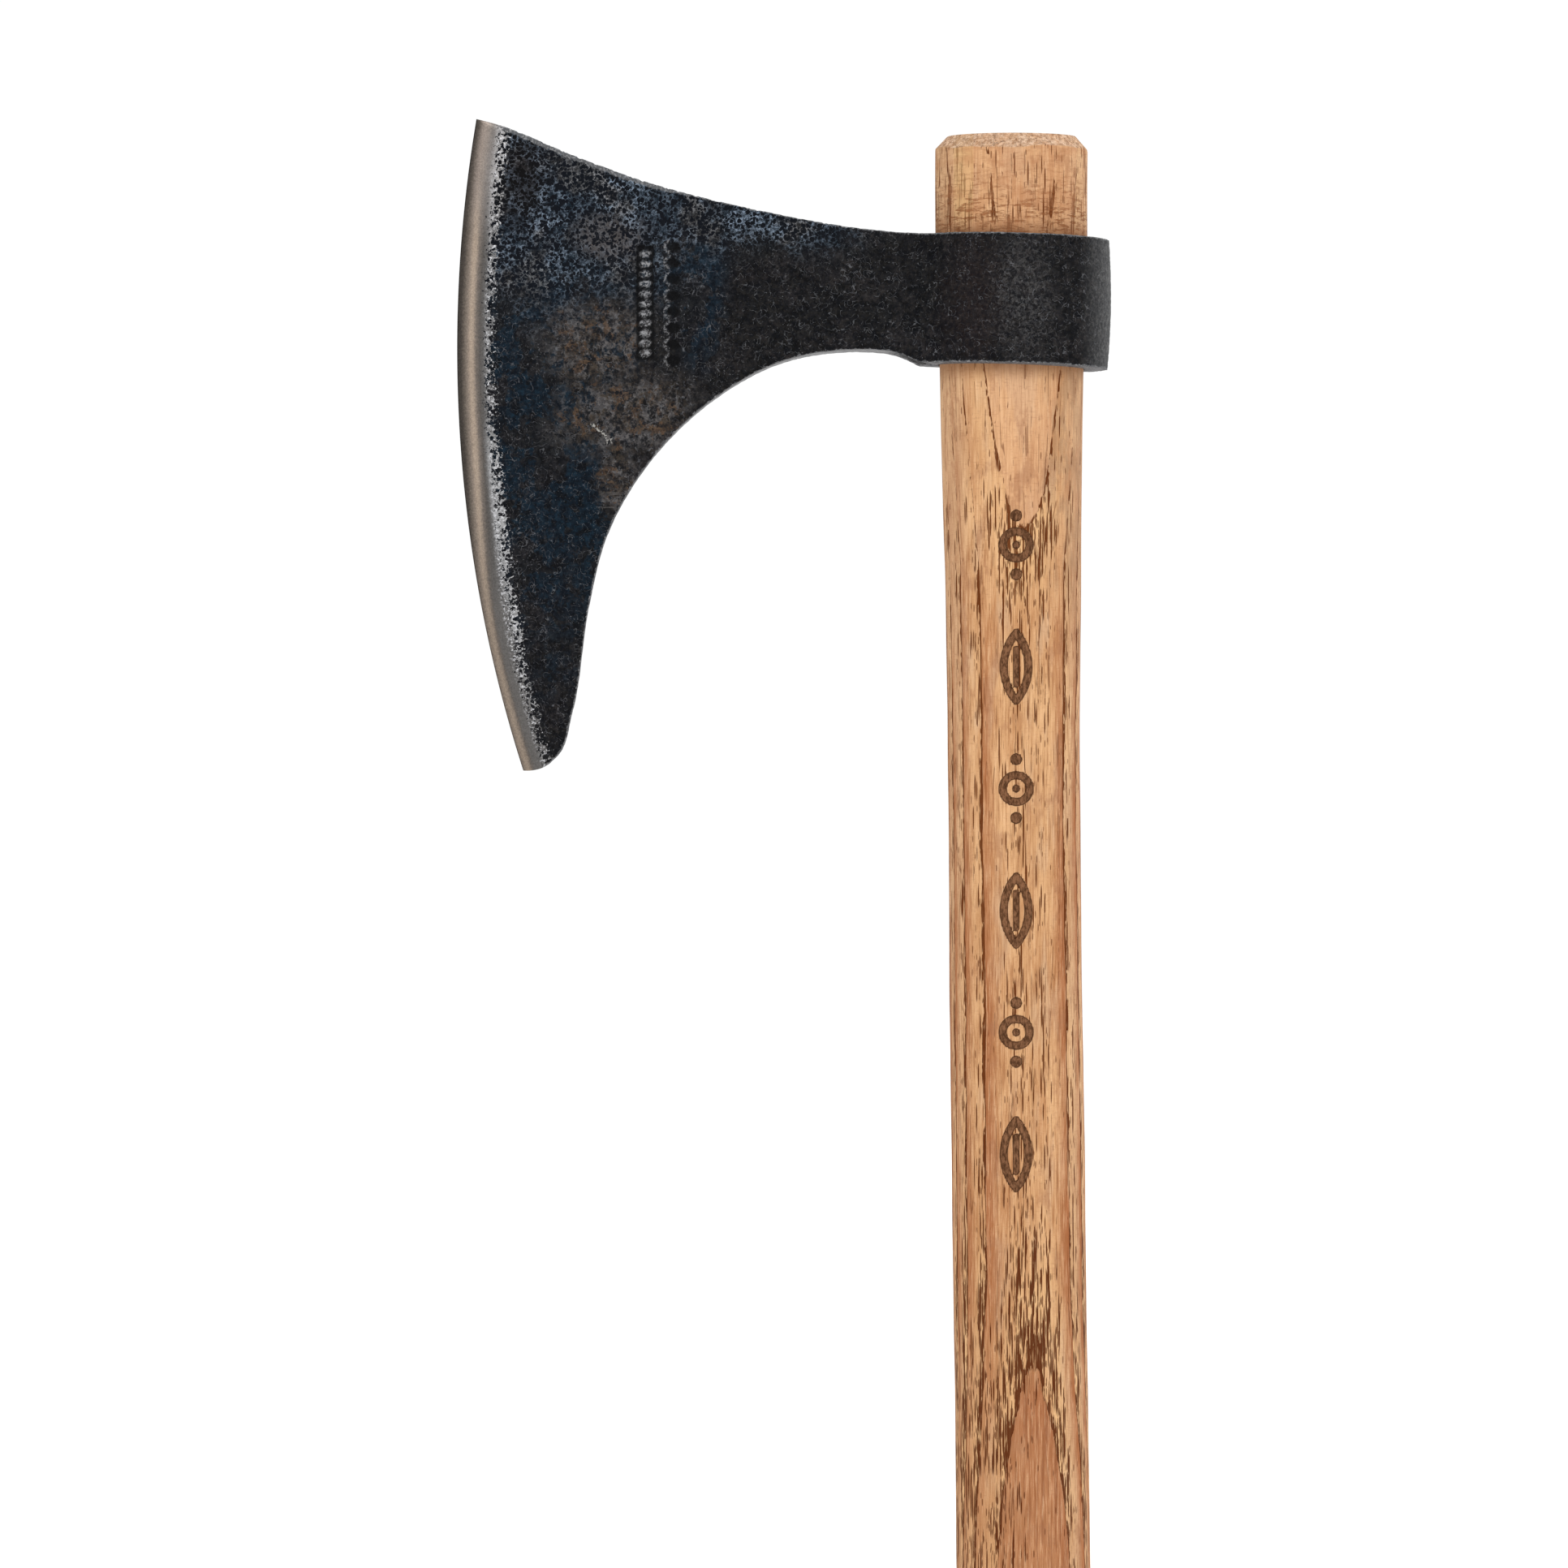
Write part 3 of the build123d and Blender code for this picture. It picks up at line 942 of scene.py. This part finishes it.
def ground_colour(local, from_edge):
    """Satin steel of the ground edge, in painted reflections of its convex bevel: dark along the cut,
    warm in the middle, and pale where the grinding runs out into the scale."""
    z = local.axes()[2]
    grain = local.noise(1500, roughness=0.7) * (1.4 * MM)
    satin = from_edge + grain - 0.7 * MM + grind_shift(local)
    # painted reflections: colour bands set by the distance from the edge
    reflection_bands, toe = [(satin / GRIND_WIDTH).ramp(stops) for stops in (GRIND_REFLECTION_STOPS, TOE_REFLECTION_STOPS)]
    colour = mix(z.fade(12 * MM, 34 * MM), reflection_bands, toe)
    colour = colour.vector("SCALE", z.fade(-45 * MM, -85 * MM, 1.0, 0.76))
    # more painted reflection in the beard: a grey lift and a bright band
    lift = z.fade(-55 * MM, -85 * MM, 0.0, 0.75) * satin.fade(4.3 * MM, 5.6 * MM)
    colour = mix(lift, colour, (0.135, 0.128, 0.123))
    beard = abs(z + 70 * MM).fade(44 * MM, 24 * MM, 0.0, 0.8)
    bright = beard * (from_edge + grain).fade(6.5 * MM, 8.6 * MM)
    colour = mix(bright, colour, (0.38, 0.38, 0.385))
    glitter = local.noise(2600, roughness=0.7).fade(0.30, 0.70, 0.80, 1.20)
    colour = colour.vector("SCALE", glitter)
    runout = satin.fade(6.5 * MM, 8.0 * MM)
    nicks = runout * local.noise(2100, 2.0).fade(0.46, 0.39, 0.0, 0.80)
    colour = mix(nicks, colour, (0.03, 0.031, 0.034))
    # painted reflection: pale ragged light where the grinding runs out
    runout_reflection = runout * local.noise(1400, roughness=0.7).fade(0.50, 0.62, 0.0, 0.85)
    return mix(runout_reflection, colour, (0.60, 0.60, 0.62))


def stamped(graph, local, colour):
    """The stamp's dark hollows and its worn bright tops."""
    colour = mix(graph.attribute("stamp") * 0.92, colour, (0.0026, 0.0026, 0.003))
    patchy = local.noise(1500, roughness=0.7).fade(0.44, 0.58, 0.03, 1.0)
    tops = graph.attribute("stamp_tops") * patchy * 0.9
    return mix(tops, colour, (0.27, 0.27, 0.28))


def steel():
    """Forging scale with worn rims partly painted as highlights, a plain stamp, a painted reflection
    of the floor under the beard, and a ground edge in painted reflections.
    """
    made, graph, shader = material("forged_steel")
    local, pit, ground, from_edge = forging(graph)
    chips = local.noise(900, roughness=0.7)
    colour, spots = scale_ground(local)
    colour = pit_colour(local, pit, spots, colour)
    colour = scratched(local, colour)
    colour = rim_wear_and_highlight(graph, local, chips, colour)
    # painted reflection: faces turned down under the beard are painted lighter grey, as if lit by the
    # floor, and made partly metallic
    underside_reflection = graph.facing_up().fade(-0.55, -0.75) * local.axes()[0].fade(-30 * MM, -36 * MM)
    colour = mix(underside_reflection * 0.85, colour, (0.20, 0.20, 0.205))
    colour = stamped(graph, local, colour)
    colour = mix(ground, colour, ground_colour(local, from_edge))
    roughness = local.noise(420).fade(0.3, 0.7, 0.45, 0.68)
    height = (local.noise(2600) * 0.35 + chips) * ground.fade(0, 1, 1.0, 0.08)
    graph.put(shader, {
        "Base Color": colour,
        "Metallic": larger(ground, underside_reflection * 0.6),
        "Roughness": roughness * ground.fade(0, 1, 1.0, 0.85),
        "Specular IOR Level": 0.05,
        "Normal": height.bump(0.12 * MM, 0.8),
    })
    return made


# -------- wood


def growth(place):
    """Growth rings, counted inwards: the number of each and 0 to 1 across it, early wood first.
    They lie across the haft and dip at both ends, so that the front shows a tongue at each."""
    x, y, z = place.warp(28, 0.3 * MM).axes()
    pointed = z.fade(LOWER_TIP_Z - 50 * MM, LOWER_TIP_Z, 1.08, 0.55)
    above_tip = z.math("GREATER_THAN", LOWER_TIP_Z)
    low = (z - LOWER_TIP_Z) * 0.0345 * larger(pointed, above_tip)
    high = (UPPER_TIP_Z - z) * 0.04
    dip = low.math("SMOOTH_MIN", high, 0.2 * MM).math("SMOOTH_MIN", 0.4 * MM, 0.2 * MM)
    lean = (x + 3.5 * MM) * -0.108
    ragged = place.streaks(1.1 * MM, 10 * MM, 3.0, 0.65) * (0.36 * MM)
    rings = (y + lean + dip + ragged + 13.48 * MM) / RING_WIDTH
    return rings, (rings + 10.0).math("FRACT")


def wood_clouds(place, ring, lower):
    """Cream and tan clouds, greyer streaks and sides, redder late wood and a redder lower left."""
    x, _, z = place.axes()
    clouds = place.streaks(9 * MM, 45 * MM, 4.0)
    colour = mix(clouds.fade(0.36, 0.62), (0.48, 0.23, 0.1), (0.655, 0.375, 0.186))
    grey = place.streaks(6 * MM, 28 * MM).fade(0.50, 0.66, 0.0, 0.50)
    sides = abs(x + 4 * MM).fade(10 * MM, 16 * MM, 0.0, 0.40)
    colour = mix(larger(grey, sides), colour, (0.53, 0.355, 0.23))
    late = ring.fade(0.45, 0.95) * clouds.fade(0.70, 0.40, 0.55, 1.0)
    late = late * z.fade(0.385, 0.33, 0.25, 1.0)
    colour = mix(late, colour, (0.37, 0.135, 0.053))
    left = lower * x.fade(-4 * MM, 8 * MM, 0.34, 0.04)
    return mix(left, colour, (0.37, 0.155, 0.065))


def tongue_colour(place, rings, lower, colour):
    """The tongues of grain in front: the lower one red with dark streaks, the upper one pale."""
    tongue = rings.fade(0.01, -0.01)
    red = tongue * lower.fade(0.3, 1.0)
    colour = mix(red * 0.7, colour, (0.365, 0.142, 0.062))
    streaks = place.streaks(1.0 * MM, 20 * MM, 3.0, 0.65).fade(0.49, 0.62, 0.0, 0.55)
    colour = mix(red * streaks, colour, (0.21, 0.072, 0.03))
    pale = tongue * lower.fade(0.3, 0.0, 0.0, 0.4)
    return mix(pale, colour, (0.68, 0.385, 0.215))


def wood_marks(place, fibre, colour):
    """Dark and pale fibres, stains, smudges near the head and rays across the grain."""
    near_head = place.axes()[2].fade(0.38, 0.41)
    dark = fibre.fade(0.48, 0.68) * near_head.fade(0, 1, 0.62, 0.28)
    colour = mix(dark, colour, (0.25, 0.088, 0.03))
    colour = mix(fibre.fade(0.52, 0.30, 0.0, 0.42), colour, (0.86, 0.56, 0.33))
    stains = place.streaks(5 * MM, 9 * MM, 4.0, 0.65).fade(0.53, 0.68, 0.0, 0.48)
    colour = mix(stains, colour, (0.33, 0.145, 0.072))
    smudges = place.streaks(3 * MM, 10 * MM, 4.0, 0.65).fade(0.40, 0.60, 0.0, 0.65)
    smudges = smudges * place.blob((0.01, 0.41), (0.006, 0.034), 0.6)
    colour = mix(smudges, colour, (0.36, 0.215, 0.12))
    rays = place.streaks(1 / 550, 1 / 3000).fade(0.54, 0.70, 0.0, 0.28)
    return mix(rays, colour, (0.31, 0.13, 0.055))


def pores(place, size, length, density):
    """Dark dashes along the grain, as many as the density says."""
    away, chance = place.stretch(size, length).warp(0.30, 0.14).cells(1.0)
    return away.fade(0.47, 0.35) * (density - chance).fade(0.0, 0.05)


def pore_crowd(place, rings, ring, streaky, stain):
    """How crowded the pores are: most in early wood, near the tongues' tips and in the stain."""
    z = place.axes()[2]
    near_upper_tip = abs(z - 0.396).fade(26 * MM, 6 * MM)
    near_lower_tip = abs(z - 0.175).fade(50 * MM, 16 * MM)
    crowd = ring.fade(0.0, 0.02) * ring.fade(0.66, 0.12) * streaky.fade(0.38, 0.56, 0.35, 1.1)
    crowd = crowd * larger(near_upper_tip, near_lower_tip).fade(0, 1, 0.42, 1.6)
    outer_ring = rings.fade(0.97, 1.03) * z.fade(0.36, 0.39)
    tongue = rings.fade(0.03, -0.03)
    crowd = crowd * outer_ring.fade(0, 1, 1.0, 0.2) * tongue.fade(0, 1, 1.0, 0.12)
    under_head = abs(z - 0.43).fade(32 * MM, 20 * MM, 1.0, 0.15)
    crown = (CROWN_Z - z).fade(30 * MM, 20 * MM, 0.0, 0.12)
    return crowd * under_head + stain * 0.35 + crown


def wood_pores(place, ring, crowd, streaky):
    """Where pores, the broken seams between rings and fine lines are dark."""
    z = place.axes()[2]
    long = pores(place, 0.52 * MM, 15 * MM, crowd * 0.75 + 0.015)
    short = pores(place, 0.44 * MM, 8 * MM, crowd * 0.85 + 0.025)
    dots = pores(place, 0.36 * MM, 2.5 * MM, crowd * 0.40 + 0.05) * 0.75
    dark = larger(long, short, dots)
    breaks = place.streaks(2.0 * MM, 8 * MM, 3.0, 0.65)
    share = z.fade(0.4, 0.375, 0.3, 1.0).math("MINIMUM", z.fade(0.2, 0.26, 0.55, 1.0))
    width = share * 0.095 + breaks.fade(0.40, 0.64, -0.045, 0.055)
    seam = (ring - width).fade(0.012, -0.012) * ring.fade(0.0, 0.004)
    seam = seam * place.streaks(0.4 * MM, 6 * MM, 2.0, 0.5).fade(0.32, 0.44, 0.55, 1.0)
    dark = larger(dark, seam * streaky.fade(0.30, 0.42, 0.4, 1.0))
    lines = place.streaks(3.0 * MM, 120 * MM, 1.0, 0.5).contours(0.003, 0.012)
    return larger(dark, lines * breaks.fade(0.48, 0.56) * z.fade(0.40, 0.47, 0.55, 0.8))


def crown_wear(graph, place, streaky, colour):
    """Rasp marks above the head, a painted shadow just under the head with grime just above it, and
    the paler hand-cut end. Returns the colour and the rasp marks."""
    x, _, z = place.axes()
    below_crown = CROWN_Z - z
    strip = abs(x + 17.5 * MM).fade(2.8 * MM, 2.2 * MM) * below_crown.fade(27 * MM, 18 * MM)
    colour = mix(strip * 0.45, colour, (0.68, 0.42, 0.19))
    rasp = place.streaks(1 / 300, 1 / 1300, 5.0, 0.72).fade(0.49, 0.61)
    rasp = rasp * below_crown.fade(30 * MM, 26 * MM) * below_crown.fade(8 * MM, 22 * MM, 0.25, 1.0)
    colour = mix(rasp * 0.82, colour, (0.235, 0.078, 0.026))
    worked = place.streaks(1 / 90, 1 / 160).fade(0.46, 0.62, 0.0, 0.42)
    colour = mix(worked * below_crown.fade(31 * MM, 25 * MM), colour, (0.42, 0.18, 0.08))
    # painted shadow just under the head and reddish grime just above it, in one band
    shadow_and_grime = abs(z - EYE_Z).fade(EYE_HALF_HEIGHT + 5 * MM, EYE_HALF_HEIGHT, 0.0, 0.50)
    colour = mix(shadow_and_grime, colour, (0.3, 0.125, 0.055))
    cut_end = graph.facing_up().fade(0.2, 0.5) * streaky.fade(0.65, 0.35, 0.55, 0.9)
    specks = place.noise(900, 5.0, 0.8).fade(0.38, 0.62)
    pale = mix(specks, (0.31, 0.175, 0.1), (0.73, 0.52, 0.37))
    return mix(cut_end, colour, pale), rasp


def burned_in(graph, place, colour):
    """The burned ornaments: char in two browns with a darker rim. Returns the colour and how
    high the char stands."""
    burn = graph.attribute("burn")
    char = place.streaks(0.7 * MM, 1.6 * MM, 3.0, 0.7)
    burned = mix(char.fade(0.35, 0.65), (0.075, 0.032, 0.014), (0.235, 0.11, 0.054))
    burned = mix(burn.fade(0.95, 0.60) * 0.8, burned, (0.045, 0.017, 0.007))
    share = (char * 0.3 + burn).fade(0.40, 0.75)
    return mix(share, colour, burned), burn * char


def hickory():
    """Oiled hickory: tongues of growth rings, pores, rasp marks at the crown, burned ornament."""
    made, graph, shader = material("hickory")
    place = graph.place()
    lower = place.axes()[2].fade(0.37, 0.17)  # 0 near the head, 1 low on the haft
    rings, ring = growth(place)
    fibre = place.streaks(0.40 * MM, 9 * MM, 4.0, 0.7)
    streaky = place.streaks(1.6 * MM, 30 * MM)
    colour = wood_clouds(place, ring, lower)
    colour = tongue_colour(place, rings, lower, colour)
    colour = wood_marks(place, fibre, colour)
    stain = larger(
        place.blob((-0.015, 0.145), (0.011, 0.042), 0.6),
        place.blob((0.0, 0.1845), (0.005, 0.009), 0.6),
    )
    crowd = pore_crowd(place, rings, ring, streaky, stain)
    dark = wood_pores(place, ring, crowd, streaky)
    colour = mix(crowd * 0.42, colour, (0.74, 0.45, 0.22))
    colour = mix(stain * 0.15, colour, (0.29, 0.108, 0.045))
    deepest = mix(lower.fade(0.4, 1.0), (0.105, 0.02, 0.001), (0.08, 0.012, 0.000))
    colour = mix(dark * 0.95, colour, deepest)
    colour, rasp = crown_wear(graph, place, streaky, colour)
    colour, char = burned_in(graph, place, colour)
    height = fibre * 0.6 - dark * 1.3 - rasp * 0.5 + char * 0.8
    graph.put(shader, {
        "Base Color": colour,
        "Roughness": fibre.fade(0.3, 0.7, 0.52, 0.68),
        "Specular IOR Level": 0.03,
        "Normal": height.bump(0.14 * MM, 0.9),
    })
    return made


# -------- stage, light and camera


def floor():
    """A wide plain pale floor."""
    bpy.ops.mesh.primitive_plane_add(size=16, location=(0, 0, 0))
    plane = bpy.context.object
    plane.name = "floor"
    made, graph, shader = material("floor")
    graph.put(shader, {"Base Color": (0.92, 0.92, 0.92), "Roughness": 0.9})
    plane.data.materials.append(made)


def sky():
    """White all round: full white to the camera, softer as light."""
    world = bpy.data.worlds.new("studio")
    world.use_nodes = True
    bpy.context.scene.world = world
    graph = Graph(world.node_tree)
    seen = graph.signal("ShaderNodeLightPath", {}, "Is Camera Ray")
    background = world.node_tree.nodes["Background"]
    graph.put(background, {"Color": (1, 1, 1), "Strength": seen.fade(0, 1, 0.55, 1.02)})


def lamp(name, place, strength, spread):
    """A broad soft light from far away, which shines from the direction of place."""
    data = bpy.data.lights.new(name, "SUN")
    data.energy = strength
    data.angle = math.radians(spread)
    light = bpy.data.objects.new(name, data)
    light.location = place
    light.rotation_euler = (-light.location).to_track_quat("-Z", "Y").to_euler()
    bpy.context.scene.collection.objects.link(light)


def camera():
    """Straight at the flat of the blade, level, from 1.76 m, with the crown near the top."""
    distance, width = 1.76, 0.4096
    data = bpy.data.cameras.new("camera")
    data.angle = 2 * math.atan(width / 2 / distance)
    data.clip_end = 30
    view = bpy.data.objects.new("camera", data)
    view.location = (-0.0641, -distance, CROWN_Z - 0.169)
    view.rotation_euler = (math.pi / 2, 0, 0)
    bpy.context.scene.collection.objects.link(view)
    bpy.context.scene.camera = view


head = add_piece(head_mesh(), "head", "axe_head")
displace(head, head_relief)
head.data.materials.append(steel())
haft = add_piece(haft_mesh(), "haft", "haft")
haft.data.materials.append(hickory())

floor()
sky()
lamp("key", (-0.5, -1.0, 0.75), 1.1, 40)
lamp("fill", (0.9, -0.9, 0.5), 0.6, 40)
lamp("top", (0.2, 0.5, 1.0), 1.5, 60)
lamp("rim", (1.0, 0.7, 0.25), 1.2, 60)
camera()
bpy.context.scene.view_settings.view_transform = "Standard"
